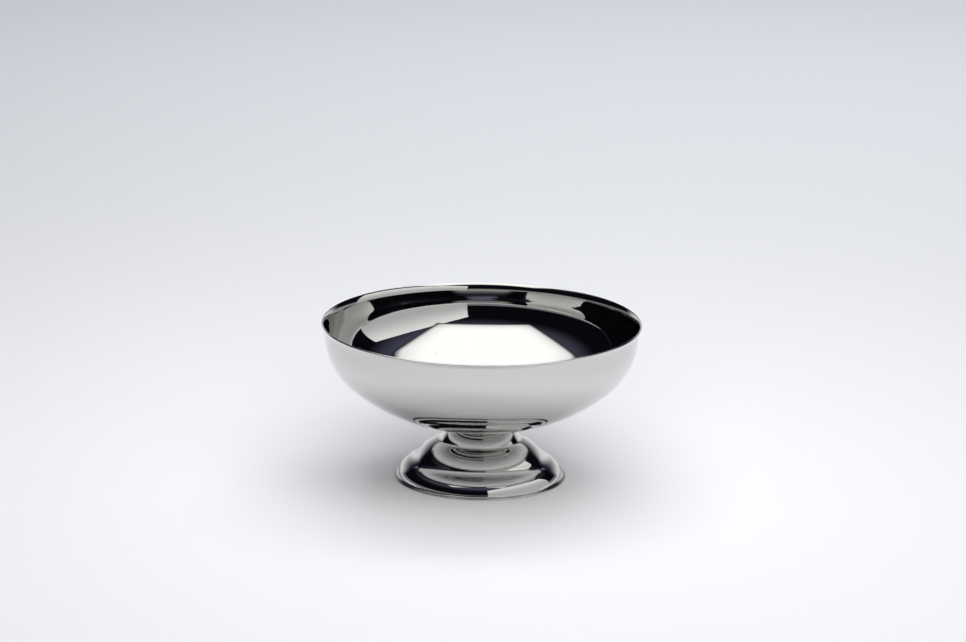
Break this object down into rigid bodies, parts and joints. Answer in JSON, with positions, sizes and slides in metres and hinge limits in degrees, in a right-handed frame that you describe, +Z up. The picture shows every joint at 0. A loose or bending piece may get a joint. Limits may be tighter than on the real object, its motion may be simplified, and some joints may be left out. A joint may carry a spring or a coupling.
{
  "type": "ice cream coupe",
  "caption": "Low footed dessert bowl of polished stainless steel: a wide round bowl with an out-flared lip, spot-welded to a hollow stepped foot with a flat flange.",
  "frame": {"origin": "middle of the flat face under the foot flange, on the axis of revolution", "axes": "+Z up along the axis of revolution, through the bowl; X and Y lie between the spot welds, which sit at 45 degrees to them"},
  "size_m": [0.1, 0.1, 0.05],
  "materials": {
    "polished_stainless": "mirror-polished stainless steel sheet",
    "weld_metal": "bare resistance-weld metal, dull"
  },
  "bodies": {
    "root": {"bowl": "polished_stainless", "foot": "polished_stainless", "spot_weld_1": "weld_metal", "spot_weld_2": "weld_metal", "spot_weld_3": "weld_metal", "spot_weld_4": "weld_metal"}
  },
  "joints": []
}
